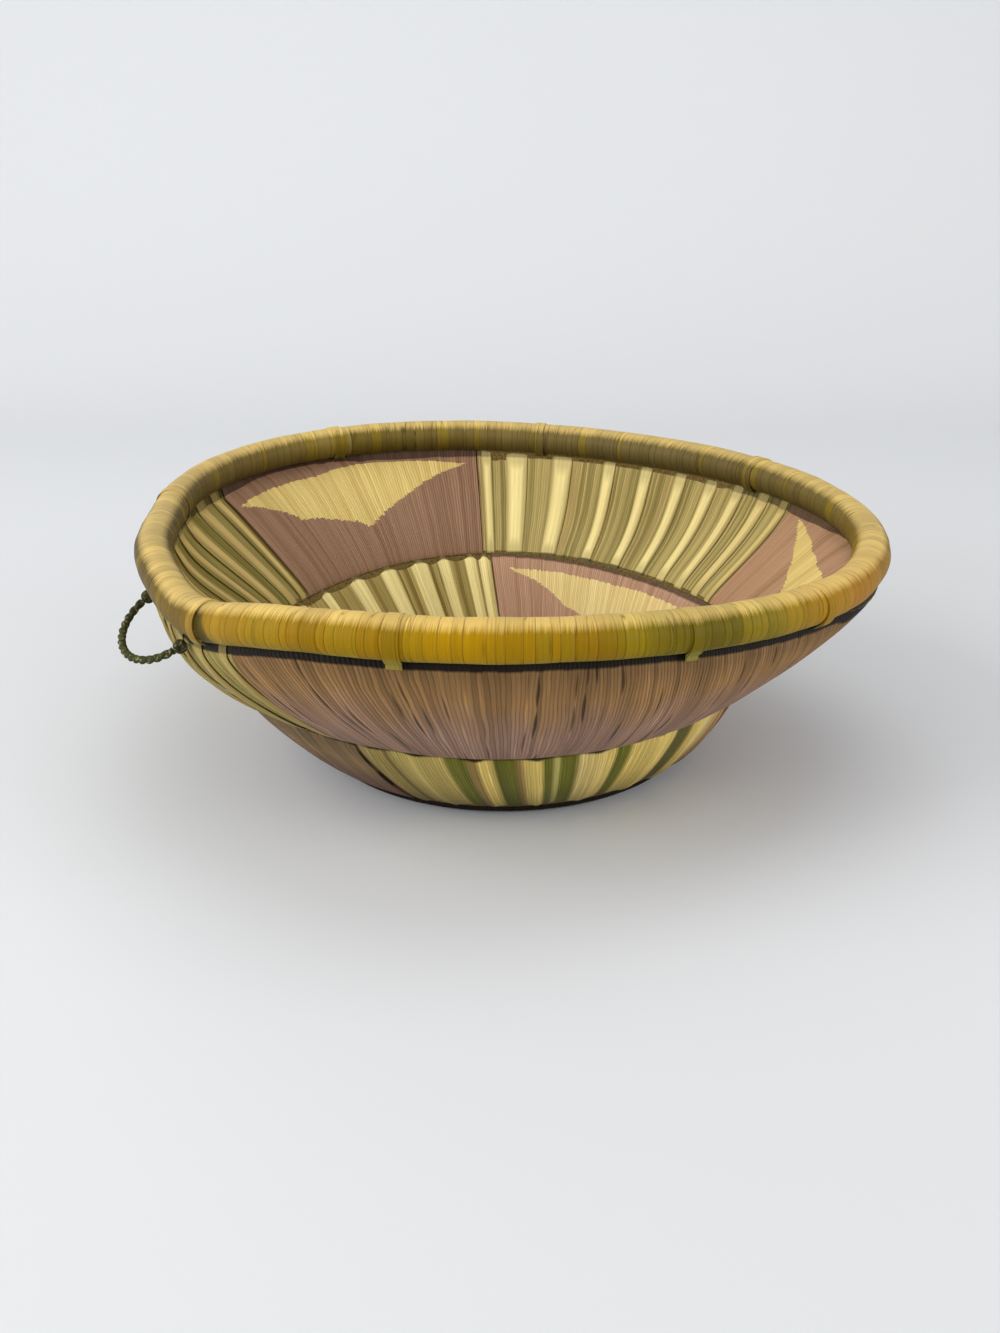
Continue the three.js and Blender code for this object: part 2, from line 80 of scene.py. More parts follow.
# The loop's cord: its two knots, how far it hangs out and down, and its gap to the knots at its ends
KNOT_REAR = (-0.1504937, -0.0636992, 0.0925639)
KNOT_FRONT = (-0.1280013, -0.1098505, 0.0880818)
LOOP_OUT, LOOP_DROP = 0.017, 0.010
KNOT_RADIUS, KNOT_GAP = 0.0026, 0.0004
PLY_WAIST = 0.64  # half the cord's thickness between its two plies, as a share of its radius

# Middles of the ribs of the upper coil, right and left, and of the lower coil, back and front
RIGHT_RIBS = (23.5, 29, 35.6, 42.2, 49.3, 57, 65.3, 75.6, 84.3, 90.3)
LEFT_RIBS = (145.5, 149.8, 155, 160.3, 166, 172, 178.5, 185, 192.5, 200.5, 209, 217.5, 226, 234, 241.5)
BACK_RIBS = (92, 95.6, 102.8, 109.3, 118.2, 128, 138.7, 148.4, 158)
FRONT_RIBS = (248, 256.6, 267.3, 278.5, 290.3, 304.5, 315.5, 325.5)
WIDE_RIBS = (75.6, 84.3, 109.3, 118.2, 128, 248, 256.6, 290.3, 304.5, 315.5)

# Widths of the upper coil's ribs, and half widths of the lower coil's, in degrees
WIDE_RIB, RIB, END_RIB = 4, 2.7, 2
HALF_WIDE_LOWER_RIB, HALF_LOWER_RIB = 2.0, 1.35

# How pale each rib's crest is, from 0 to 1. The left ones are lower: painted shade of the left wall, which
# faces away from the light, over each rib's own tone.
RIGHT_TONES = (0.45, 0.6, 0.75, 0.85, 0.9, 0.95, 1.0, 0.95, 1.0, 0.8)
LEFT_TONES = (0.35, 0.2, 0.3, 0.2, 0.25, 0.15, 0.2, 0.15, 0.25, 0.2, 0.25, 0.3, 0.2, 0.3, 0.4)

# Cosine and sine parts of one, two and three waves to a turn, in and out and up and down
RIM_SWAY = ((-0.0002, -0.0011), (-0.0012, -0.0081), (0.0114, 0.003))
RIM_LEVEL = ((-0.0018, -0.0002), (-0.0036, 0.0036), (0.0001, 0.0011))
SEAM_SWAY = ((0.0001, -0.0018), (-0.0033, 0.0003), (0.0008, -0.0013))
SEAM_LEVEL = ((0.0015, -0.0013), (-0.001, 0.001), (0.0013, -0.0017))

# How far the strips of the upper coil have shifted at its upper edge: at which angles, and by how much
LEAN_AT = (0, 22, 30, 40, 50, 60, 75, 85, 92, 143, 150, 160, 166, 172, 180, 200, 215, 230, 243, 275, 360)
LEAN = (0, -1.5, -2.5, -3.8, -4, -3.3, -1.8, 0.5, 0.8, 2.8, 5, 10.8, 12.8, 13, 9.8, 0.5, -4, -8, -9, 0, 0)

# The natural motif of each flat panel, which runs down the coil from one edge to the other. Each edge is a
# row of angles round the bowl, with shares of the way down the coil.
MOTIF_BACK = {
    "from": [(92, 0.07), (94.9, 0.06), (102.9, 0.03), (112.7, 0.12), (123.4, 0.27), (129.1, 0.28),
             (135.7, 0.30), (141.8, 0.36), (144, 0.4)],
    "to": [(92, 0.0), (94.9, 0.08), (101.1, 0.36), (107.4, 0.60), (114, 0.75), (118, 0.81),
           (120.2, 0.76), (125.6, 0.70), (131.7, 0.65), (134.3, 0.55), (142.1, 0.37), (144, 0.3)],
}
MOTIF_FRONT = {
    "from": [(243, 1.0), (262, 0.3), (285, 0.08), (318, 0.3), (335, 0.5), (356.3, 0.47), (361.3, 0.47),
             (367.5, 0.42), (374, 0.29), (378.5, 0.02), (382, 1.0)],
    "to": [(243, 0.0), (262, 0.3), (290, 0.72), (318, 0.4), (335, 0.6), (350, 0.82), (362.7, 0.76),
           (367.2, 0.67), (373, 0.51), (377.3, 0.26), (378.7, 0.03), (382, 0.0)],
}
MOTIF_RIGHT = {
    "from": [(329, 1.0), (345, 0.25), (375, 0.1), (395.7, 0.08), (406.1, 0.07), (415.1, 0.09),
             (423.6, 0.09), (431.5, 0.08), (439.1, 0.09), (445.6, 0.08), (450, 1.0)],
    "to": [(329, 0.0), (345, 0.3), (375, 0.75), (405, 0.9), (425.7, 0.55), (429.3, 0.50), (434.5, 0.32),
           (439.1, 0.21), (445.7, 0.09), (450, 0.0)],
}
MOTIF_LEFT = {
    "from": [(163, 1.0), (175, 0.2), (205, 0.06), (235, 0.2), (245, 1.0)],
    "to": [(163, 0.0), (175, 0.2), (205, 0.75), (235, 0.22), (245, 0.0)],
}
MOTIF_BASE = {"from": [(0, 0.42), (360, 0.42)], "to": [(0, 0.62), (360, 0.62)]}

# Weave: how many strips there are to a degree, about 1.4 mm wide at the middle of the upper coil
STRIPS_PER_DEGREE = 1.9
SLITS_PER_STRIP = 0.42
SLIT_RUNS = 2.9  # stretches down a coil, each with a slit, a loose fibre or neither
SLIT_CHANCE = 0.68  # above this a stretch has a slit
FIBRE_CHANCE = 0.3  # below this it has a loose fibre
# The dark line at a coil's ends is painted shade, under the roll and along the seam
PAINTED_SHADE_LINE = (0.532, 0.556)  # from the coil's middle: where its ends begin to darken, and are fully dark
FACES = (-0.35, 0.35)  # depths in half walls where the inside's look ends and the outside's begins

# Palm leaf, dyed and natural: each row is the spread of colours that a panel's strips take at random
DARK_MAUVE = ("#84624A", "#9A785F", "#8D6C54")
MAUVE = ("#8E6A50", "#A48066", "#97745A")
LIGHT_MAUVE = ("#A88064", "#C49C80", "#B48E72")
PALE_MAUVE = ("#9C7656", "#B48E6C", "#A68062")
NATURAL = ("#CCAF68", "#E2C97E")
PALE_NATURAL = ("#DEC27E", "#F2DC9A")
BASE_NATURAL = ("#CDB06A", "#E2C97E")
# The left valleys are darker than the right ones: painted shade of the left wall, over each row's own
# spread
RIGHT_VALLEYS = ("#857642", "#A4965A", "#BBA868", "#AA905C")
LEFT_VALLEYS = ("#6C6126", "#857A3C", "#93834A", "#7E6A38")
LOWER_VALLEYS = ("#7A6426", "#9A884C", "#A69256")
CREAM, GREEN, TAN = "#C9AF60", "#64621A", "#8A703C"
GOLDEN, DEEP, OLIVE = "#9E7802", "#8A6802", "#645608"

# Outside of the lower coil's ribbed panels, and the four lengths of the rim's wrap: angles and colours
FRONT_BANDS = [
    (245, "#7E6E42"), (250, "#8C7A42"), (250.8, "#5E5028"), (251.6, "#9C8A4C"), (261.2, "#B49E58"),
    (262.1, GREEN), (265.3, GREEN), (266, TAN), (267.4, TAN), (268, CREAM), (270, CREAM),
    (270.9, "#585818"), (274, GREEN), (275.4, TAN), (276.4, CREAM), (279.3, CREAM), (280, GREEN),
    (281.3, GREEN), (282.3, "#C0B46A"), (283.4, GREEN), (286.2, GREEN), (287, "#CDB672"), (294, CREAM),
    (294.8, "#585818"), (297.2, GREEN), (298.4, CREAM), (308, CREAM), (309.2, "#4F4A20"),
    (312.8, "#5A5424"), (314, CREAM), (320, "#CDB672"), (324, "#97784E"),
]
BACK_BANDS = [(90, CREAM), (163.7, CREAM)]
# The near-black stops at about 230 degrees, at the ends of the front and left lengths, are painted shade in
# the cleft where these meet
RIM_LENGTHS = [
    ("rim_front_wrap", "rim_golden", (230, 303), [
        (230.5, "#3E320A"), (231.6, "#4E4208"), (232.4, "#8E6E18"), (250, DEEP), (268, GOLDEN),
        (283, DEEP), (289, "#847006"), (296, OLIVE), (303, OLIVE)]),
    ("rim_right_wrap", "rim_olive", (303, 390), [
        (303, OLIVE), (310, "#7A6A14"), (316, "#90700E"), (330, "#946818"), (347, "#7C5E1C"),
        (365, "#68582A"), (390, "#665830")]),
    ("rim_back_wrap", "rim_olive", (30, 117), [
        (30, "#665830"), (60, "#685B34"), (90, "#6C5C2E"), (116.5, "#6A5A26"), (117, "#5A4A18")]),
    ("rim_left_wrap", "rim_golden", (117, 230), [
        (117, "#84733A"), (135, "#6A592C"), (160, "#5E502A"), (185, "#504428"), (210, "#5A4A22"),
        (229, "#665016"), (229.7, "#3E320A")]),
]
LASHING_TONES = [
    (0, "#6A5A2C"), (60, "#6C5E34"), (117, "#6A5A26"), (166, "#62532C"), (190, "#6E5E36"), (250, DEEP),
    (290, "#72640C"), (300, OLIVE), (325, "#967012"), (360, "#6A5A2C"),
]

# Lamps: name, place and size in metres, and power in watts
LAMPS = (
    ("window", (-1.25, -0.45, 1.05), 1.0, 12),
    ("ceiling", (0.1, 0.25, 1.8), 1.2, 7),
    ("low window", (-1.3, -0.7, 0.3), 1.0, 15),
    ("far room", (1.4, -0.5, 0.3), 1.0, 15),
)


# Camera, at the photograph's viewing angle

def set_camera():
    pitch, roll = math.radians(CAMERA_PITCH), math.radians(CAMERA_ROLL)
    forward = Vector((0, math.cos(pitch), -math.sin(pitch)))
    right = Vector((1, 0, 0))
    down = forward.cross(right)
    across = math.cos(roll) * right - math.sin(roll) * down
    lower = math.sin(roll) * right + math.cos(roll) * down
    lens = bpy.data.cameras.new("camera")
    lens.sensor_fit = "VERTICAL"
    lens.sensor_height = SENSOR
    lens.sensor_width = SENSOR
    lens.lens = LENS
    lens.clip_start = 0.01
    camera = bpy.data.objects.new("camera", lens)
    bpy.context.scene.collection.objects.link(camera)
    turn = Matrix((across, -lower, -forward)).transposed()
    camera.matrix_world = Matrix.Translation(CAMERA_AT) @ turn.to_4x4()
    bpy.context.scene.camera = camera


# Small helpers

def only(piece):
    """Selects one piece and nothing else."""
    bpy.ops.object.select_all(action="DESELECT")
    piece.select_set(True)
    bpy.context.view_layer.objects.active = piece


def apply_modifier(piece, kind, **settings):
    only(piece)
    modifier = piece.modifiers.new(kind.lower(), kind)
    for key, value in settings.items():
        setattr(modifier, key, value)
    bpy.ops.object.modifier_apply(modifier=modifier.name)


def smooth(piece, degrees=60):
    only(piece)
    bpy.ops.object.shade_smooth_by_angle(angle=math.radians(degrees))


def points_of(mesh):
    points = np.empty(len(mesh.vertices) * 3)
    mesh.vertices.foreach_get("co", points)
    return points.reshape(-1, 3)


def store(piece, name, *values):
    """Stores three numbers for each point of a piece, for its material to read."""
    layer = piece.data.attributes.new(name, "FLOAT_VECTOR", "POINT")
    values = np.stack(np.broadcast_arrays(*values), -1)
    layer.data.foreach_set("vector", values.astype(np.float32).ravel())


# The basket's own curves, as its solids have them

def waves(parts, angle):
    return sum(c * np.cos((k + 1) * angle) + d * np.sin((k + 1) * angle) for k, (c, d) in enumerate(parts))


def bent_corner(angle, middle):
    away = (np.degrees(angle) - middle + 180) % 360 - 180
    return np.exp(-(away / CORNER_WIDTH) ** 2)


def rim_curve(angle):
    radius = RIM_RADIUS + waves(RIM_SWAY, angle) + SWELLING * bent_corner(angle, SWELLING_AT)
    height = RIM_HEIGHT + waves(RIM_LEVEL, angle) - DIP * bent_corner(angle, DIP_AT)
    return np.stack([radius, height], -1)


def seam_curve(angle):
    return np.stack([SEAM_RADIUS + waves(SEAM_SWAY, angle), SEAM_HEIGHT + waves(SEAM_LEVEL, angle)], -1)


def upper_section(angle):
    """Top, bend and bottom of the upper coil's middle line, as distances from the axis and heights."""
    slope = math.radians(UPPER_SLOPE)
    top = rim_curve(angle) + COIL_TOP
    bottom = seam_curve(angle) + (COIL_END * math.cos(slope), COIL_END * math.sin(slope))
    steep = (top[:, 0] - bottom[:, 0]) * math.tan(slope)
    rise = np.minimum(steep, top[:, 1] - BEND_BELOW_TOP - bottom[:, 1])
    bend = bottom + np.stack([rise / math.tan(slope), rise], -1)
    return top, bend, bottom


def lower_section(angle):
    slope = math.radians(LOWER_SLOPE)
    top = seam_curve(angle) - (COIL_END * math.cos(slope), COIL_END * math.sin(slope))
    bottom = np.broadcast_to(np.array(FOOT), top.shape)
    run = bottom - top
    outward = np.stack([-run[:, 1], run[:, 0]], -1) / np.linalg.norm(run, axis=1)[:, None]
    return top, (top + bottom) / 2 + LOWER_BULGE * outward, bottom


SECTIONS = {"upper": upper_section, "lower": lower_section}


def unrolled(points, drift):
    """Each point's angle round the bowl, and its distance from the axis with its height."""
    x = points[:, 0] + drift
    return np.arctan2(points[:, 1], x), np.stack([np.hypot(x, points[:, 1]), points[:, 2]], -1)


def strip_at(degrees, share):
    """The strip of the upper coil that passes through a place, named by its angle at the lower edge."""
    strip = degrees.copy()
    for _ in range(24):
        strip = degrees - np.interp(strip % 360, LEAN_AT, LEAN) * (1 - share)
    return strip


def reach_neighbours(piece, coil, short=0.0):
    """Draws the rounded ends of a coil out to the rim, the other coil or the base, as they are sewn."""
    points = points_of(piece.data)
    for top, reach in zip((True, False), REACH[coil]):
        drift = RIM_DRIFT if top or coil == "upper" else 0.0
        angle, flat = unrolled(points, drift)
        start, bend, finish = SECTIONS[coil](angle)
        end = start if top else finish
        way = end - bend
        way = way / np.linalg.norm(way, axis=1)[:, None]
        over = ((flat - end) * way).sum(1)
        start_of_end = over.max() - CORE_END if short else 0.0
        beyond = over - start_of_end
        longest = np.percentile(beyond[beyond > 0], 98)
        stretch = np.where(beyond > 0, beyond * ((reach - short - start_of_end) / longest - 1), 0.0)
        flat = flat + way * stretch[:, None]
        points[:, 0] = flat[:, 0] * np.cos(angle) - drift
        points[:, 1] = flat[:, 0] * np.sin(angle)
        points[:, 2] = flat[:, 1]
    piece.data.vertices.foreach_set("co", points.ravel())
    piece.data.update()


def place_on_coil(points, coil):
    """Angle in degrees, share of the way down, and signed depth in half walls, for each point of a coil."""
    share = np.full(len(points), 0.5)
    for _ in range(3 if coil == "lower" else 1):
        drift = RIM_DRIFT * (1 - share) if coil == "lower" else RIM_DRIFT
        angle, flat = unrolled(points, drift)
        start, bend, end = SECTIONS[coil](angle)
        best = np.full(len(points), np.inf)
        depth = np.zeros(len(points))
        found = share.copy()
        for s in np.linspace(0, 1, 49):
            on = start * (1 - s) ** 2 + 2 * bend * s * (1 - s) + end * s * s
            run = 2 * (1 - s) * (bend - start) + 2 * s * (end - bend)
            gap = flat - on
            far = np.hypot(gap[:, 0], gap[:, 1])
            near = far < best
            best[near] = far[near]
            length = np.hypot(run[:, 0], run[:, 1])
            found[near] = (s + (gap * run).sum(1) / length ** 2)[near]
            side = (gap[:, 1] * run[:, 0] - gap[:, 0] * run[:, 1]) / length
            depth[near] = side[near]
        share = np.clip(found, -0.1, 1.1)
    degrees = np.degrees(angle)
    if coil == "upper":
        degrees = strip_at(degrees, share)
    return degrees, share, depth / HALF_WALL


def write_weave(piece, middle, coil):
    """Stores each point's angle, its share of the way down the coil and its depth towards the outside.

    On the base the share is of the way out. On the rim the last two are how far out and up it is from the
    roll's middle. Angles run on from the middle, so no piece has a jump in them.
    """
    points = points_of(piece.data)
    if coil == "rim":
        angle, flat = unrolled(points, RIM_DRIFT)
        along, depth = ((flat - rim_curve(angle)) / ROLL_RADIUS).T
        degrees = np.degrees(angle)
    elif coil == "base":
        angle, flat = unrolled(points, 0.0)
        degrees = np.degrees(angle)
        along = flat[:, 0] / BASE_RADIUS
        depth = BASE_EDGE - flat[:, 1] / HALF_WALL
    else:
        degrees, along, depth = place_on_coil(points, coil)
    store(piece, "weave", middle + (degrees - middle + 180) % 360 - 180, along, depth)


def angles_of(piece):
    weave = np.empty(len(piece.data.vertices) * 3, np.float32)
    piece.data.attributes["weave"].data.foreach_get("vector", weave)
    return weave.reshape(-1, 3)[:, 0]


def write_rib(piece, middle, width, tone, crest):
    """Stores each point's place across its rib from -1 to 1, the rib's tone and how much of it is crest."""
    store(piece, "rib", (angles_of(piece) - middle) / (width / 2), tone, crest)


def write_nearest_rib(piece, ribs):
    """Stores how far each point of a ribbed wrap is from its nearest rib, in half ribs."""
    angle = angles_of(piece)
    away = [
        np.abs(angle - middle) / (HALF_WIDE_LOWER_RIB if middle in WIDE_RIBS else HALF_LOWER_RIB)
        for middle in ribs]
    store(piece, "rib", np.min(away, axis=0), 1.0, 1.0)


uneven = bpy.data.textures.new("uneven_hand_work", "CLOUDS")
uneven.noise_scale = 0.022


def finer(node, levels=2, swell=0.0, uneven_by=0.0, sharp=75):
    """A finer piece for one node: a merged copy of its solid, rounded everywhere but at its cut ends."""
    piece = bpy.data.objects.new(node + "_woven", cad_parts[node].data.copy())
    bpy.context.scene.collection.objects.link(piece)
    piece.data.materials.clear()
    only(piece)
    bpy.ops.object.mode_set(mode="EDIT")
    bpy.ops.mesh.select_mode(type="EDGE")
    bpy.ops.mesh.select_all(action="SELECT")
    bpy.ops.mesh.customdata_custom_splitnormals_clear()
    bpy.ops.mesh.remove_doubles(threshold=0.00001)
    bpy.ops.mesh.tris_convert_to_quads(face_threshold=math.radians(50), shape_threshold=math.radians(70))
    if swell:
        bpy.ops.transform.shrink_fatten(value=swell)
    bpy.ops.mesh.select_all(action="DESELECT")
    bpy.ops.mesh.edges_select_sharp(sharpness=math.radians(sharp))
    bpy.ops.transform.edge_crease(value=1.0)
    bpy.ops.mesh.select_all(action="DESELECT")
    bpy.ops.object.mode_set(mode="OBJECT")
    apply_modifier(piece, "SUBSURF", levels=levels, render_levels=levels)
    if uneven_by:
        apply_modifier(piece, "DISPLACE", texture=uneven, strength=uneven_by, texture_coords="LOCAL")
    smooth(piece)
    return piece


def hand_in(piece, node, material, body="basket"):
    piece.data.materials.append(material)
    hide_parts(node)
    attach(piece, body)


# Shader nodes

def colour(value):
    """A linear colour from an sRGB hex value, or a grey from a number."""
    if isinstance(value, float):
        return (value, value, value, 1.0)
    parts = [int(value[i:i + 2], 16) / 255 for i in (1, 3, 5)]
    linear = [c / 12.92 if c <= 0.04045 else ((c + 0.055) / 1.055) ** 2.4 for c in parts]
    return (*linear, 1.0)


def add(tree, kind, inputs=None, out=0, **settings):
    """Adds a shader node with its settings, input values and links, and gives one of its outputs."""
    node = tree.nodes.new("ShaderNode" + kind)
    for key, value in settings.items():
        setattr(node, key, value)
    for key, value in (inputs or {}).items():
        if isinstance(value, bpy.types.NodeSocket):
            tree.links.new(value, node.inputs[key])
        else:
            node.inputs[key].default_value = value
    return node.outputs[out] if node.outputs else node


def calc(tree, operation, *values):
    return add(tree, "Math", dict(enumerate(values)), operation=operation)


def remap(tree, value, start, end, low=0.0, high=1.0, **settings):
    """A value taken from one range to another, and held inside it."""
    return add(tree, "MapRange", {0: value, 1: start, 2: end, 3: low, 4: high}, **settings)


def mix(tree, factor, first, second):
    """The first colour where the factor is 0 and the second where it is 1. Either may be a hex value."""
    first, second = (colour(tint) if isinstance(tint, str) else tint for tint in (first, second))
    return add(tree, "Mix", {0: factor, 6: first, 7: second}, out=2, data_type="RGBA")


def shade(tree, tint, factor, low, high):
    """A colour multiplied by a value that goes from low to high as the factor goes from 0 to 1."""
    amount = remap(tree, factor, 0.0, 1.0, low, high)
    grey = add(tree, "CombineXYZ", {0: amount, 1: amount, 2: amount})
    return add(tree, "Mix", {0: 1.0, 6: tint, 7: grey}, out=2, data_type="RGBA", blend_type="MULTIPLY")


def ramp(tree, factor, stops):
    """A colour ramp with its stops given as places and colours."""
    node = tree.nodes.new("ShaderNodeValToRGB")
    elements = node.color_ramp.elements
    while len(elements) > 1:
        elements.remove(elements[-1])
    elements[0].position, elements[0].color = stops[0][0], colour(stops[0][1])
    for place, tint in stops[1:]:
        elements.new(place).color = colour(tint)
    tree.links.new(factor, node.inputs[0])
    return node.outputs[0]


def even_ramp(tree, factor, tints):
    return ramp(tree, factor, [(i / (len(tints) - 1), tint) for i, tint in enumerate(tints)])


def scaled(stops, span):
    """Stops at angles, as places from 0 to 1 within a span of angles."""
    low, high = span
    return [((angle - low) / (high - low), tint) for angle, tint in stops]


def stretched_noise(tree, place, scale, detail, dimensions="3D"):
    place = add(tree, "CombineXYZ", dict(enumerate(place)))
    place = add(tree, "Mapping", {0: place, "Scale": scale})
    return add(
        tree, "TexNoise", {"Vector": place, "Scale": 1.0, "Detail": detail}, noise_dimensions=dimensions)


def stored_parts(tree, name):
    """The three numbers that a piece stores under a name."""
    split = tree.nodes.new("ShaderNodeSeparateXYZ")
    tree.links.new(add(tree, "Attribute", attribute_name=name, out=1), split.inputs[0])
    return split.outputs


def numbered(tree, count):
    """From a running count of strips: each one's number, the place across it, and its own random value."""
    number = calc(tree, "FLOOR", count)
    own = add(tree, "TexWhiteNoise", {"W": number}, noise_dimensions="1D")
    return number, calc(tree, "FRACT", count), own


def from_middle(tree, along):
    """How far a place is from the middle of its coil, as a share of the way down: 0.5 at either end."""
    return calc(tree, "ABSOLUTE", calc(tree, "SUBTRACT", along, 0.5))


def upper_or_lower(tree, along, upper, lower):
    """One value in the upper half of a coil and another in its lower half."""
    return remap(tree, along, 0.4, 0.6, upper, lower)


def new_material(name):
    material = bpy.data.materials.new(name)
    material.use_nodes = True
    material.node_tree.nodes.clear()
    return material, material.node_tree


def finish_surface(tree, base, height, roughness, depth, gloss=0.12):
    """The shader of every strip: its colour, its relief of the given depth and its satin."""
    normal = add(tree, "Bump", {"Height": height, "Distance": depth, "Strength": 1.0})
    shader = add(tree, "BsdfPrincipled", {
        "Base Color": base, "Roughness": roughness, "Specular IOR Level": gloss, "Normal": normal})
    add(tree, "OutputMaterial", {"Surface": shader})


# Materials. All the strips are split palm leaf, dyed and wound wet, which dries to a low satin.

def strip_nodes(tree, per_degree, waver):
    """What a coil's material needs to know of its strips, each rounded, with fine leaf veins along it."""
    angle, along, depth = stored_parts(tree, "weave")
    drift = stretched_noise(tree, (angle, along, depth), (0.22, 1.6, 0.4), 2.0)
    drift = calc(tree, "SUBTRACT", drift, 0.5)
    count = calc(tree, "MULTIPLY", calc(tree, "MULTIPLY_ADD", drift, waver, angle), per_degree)
    number, across, own = numbered(tree, count)
    centred = calc(tree, "MULTIPLY_ADD", across, 2.0, -1.0)
    rounded = calc(tree, "SUBTRACT", 1.0, calc(tree, "MULTIPLY", centred, centred))
    veins = stretched_noise(tree, (angle, along, 0.0), (5.0, 2.2, 1.0), 3.0, "2D")
    height = calc(tree, "MULTIPLY_ADD", veins, 0.5, rounded)
    joint = remap(tree, rounded, 0.0, 0.45, 1.0, 0.0)
    return SimpleNamespace(
        angle=angle, along=along, depth=depth, count=count, number=number, own=own, veins=veins,
        height=height, joint=joint)


def motif_mask(tree, strip, edges, span):
    """1 where a strip is left natural, between two edges that step from strip to strip."""
    middle = calc(tree, "DIVIDE", calc(tree, "ADD", strip.number, 0.5), STRIPS_PER_DEGREE)
    place = remap(tree, middle, *span)
    row = calc(tree, "ADD", strip.along, remap(tree, strip.own, 0.0, 1.0, -0.01, 0.01))
    past_first = calc(tree, "GREATER_THAN", row, ramp(tree, place, scaled(edges["from"], span)))
    before_last = calc(tree, "LESS_THAN", row, ramp(tree, place, scaled(edges["to"], span)))
    return calc(tree, "MULTIPLY", past_first, before_last)


def open_slits(tree, base, strip, outside, loose=1.0, low_end_shade=1.0):
    """Dark joints on both faces, slits and loose pale fibres outside, and painted shade at the coil's ends.

    The slits are 1 to 2 mm wide and 8 to 25 mm long. loose=0 leaves them out, and low_end_shade is how dark
    the painted shade at the coil's lower end is.
    """
    group, across, shift = numbered(tree, calc(tree, "MULTIPLY", strip.count, SLITS_PER_STRIP))
    runs = calc(tree, "MULTIPLY_ADD", shift, 5.0, calc(tree, "MULTIPLY", strip.along, SLIT_RUNS))
    part = calc(tree, "FRACT", runs)
    cell = add(tree, "CombineXYZ", {0: group, 1: calc(tree, "FLOOR", runs), 2: 3.0})
    chance = add(tree, "TexWhiteNoise", {"Vector": cell}, noise_dimensions="3D")
    taper = calc(tree, "MULTIPLY", calc(tree, "SUBTRACT", 1.0, part), part)
    off = calc(tree, "ABSOLUTE", calc(tree, "SUBTRACT", across, 0.5))

    wide = calc(tree, "MULTIPLY", remap(tree, chance, SLIT_CHANCE, 1.0, 0.0, 0.85), taper)
    slit = remap(tree, calc(tree, "SUBTRACT", wide, off), -0.06, 0.08, 0.0, loose)
    fibre = calc(tree, "MULTIPLY", remap(tree, chance, FIBRE_CHANCE, 0.0, 0.0, 0.5), taper)
    fibre = remap(tree, calc(tree, "SUBTRACT", fibre, off), -0.06, 0.04)
    base = shade(tree, base, calc(tree, "MULTIPLY", fibre, outside), 1.0, 1.45)
    thin = calc(tree, "MULTIPLY", remap(tree, outside, 0.0, 1.0, 0.22, 0.5), strip.joint)
    slit = calc(tree, "MAXIMUM", calc(tree, "MULTIPLY", slit, outside), thin)

    # Painted shade under the roll and along the seam, where the ends tuck in: narrower inside, and outside
    # it narrows from the front to the right
    narrow = calc(tree, "MULTIPLY", outside, remap(tree, strip.angle, 275, 335, 0.0, 1.9))
    narrow = calc(tree, "ADD", calc(tree, "SUBTRACT", narrow, outside), 1.0)
    ends = calc(tree, "MULTIPLY_ADD", shift, 0.01, from_middle(tree, strip.along))
    ends = remap(tree, calc(tree, "MULTIPLY_ADD", narrow, -0.017, ends), *PAINTED_SHADE_LINE)
    ends = calc(tree, "MULTIPLY", ends, upper_or_lower(tree, strip.along, 1.0, low_end_shade))
    ends = calc(tree, "MULTIPLY", ends, remap(tree, outside, 0.0, 1.0, 0.76, 1.0))
    return shade(tree, shade(tree, base, ends, 1.0, 0.045), slit, 1.0, 0.24)


def flat_panel_material(name, edges, span, inside, natural, outside_top, outside_low, low_end_shade=1.0):
    """Split palm leaf on a flat panel: dyed strips with a stepped natural motif inside, plain outside."""
    material, tree = new_material(name)
    strip = strip_nodes(tree, STRIPS_PER_DEGREE, 1.3)
    dyed, plain = even_ramp(tree, strip.own, inside), even_ramp(tree, strip.own, natural)
    front = mix(tree, motif_mask(tree, strip, edges, span), dyed, plain)
    patch = stretched_noise(tree, (strip.angle, strip.along, 3.0), (0.16, 2.0, 1.0), 2.0)
    level = remap(tree, calc(tree, "MULTIPLY_ADD", patch, 0.5, strip.along), 0.52, 0.92)
    back = mix(tree, level, outside_top, outside_low)
    back = shade(tree, back, strip.own, 0.74, 1.24)
    # Painted shade: the outside darkens towards its top, under the roll
    back = shade(tree, back, remap(tree, strip.along, 0.26, 0.02), 1.0, 0.7)
    outside = remap(tree, strip.depth, *FACES)
    base = shade(tree, mix(tree, outside, front, back), strip.veins, 0.8, 1.2)
    base = open_slits(tree, base, strip, outside, low_end_shade=low_end_shade)
    finish_surface(tree, base, calc(tree, "MULTIPLY_ADD", strip.joint, -0.5, strip.height), 0.62, 0.00022)
    return material


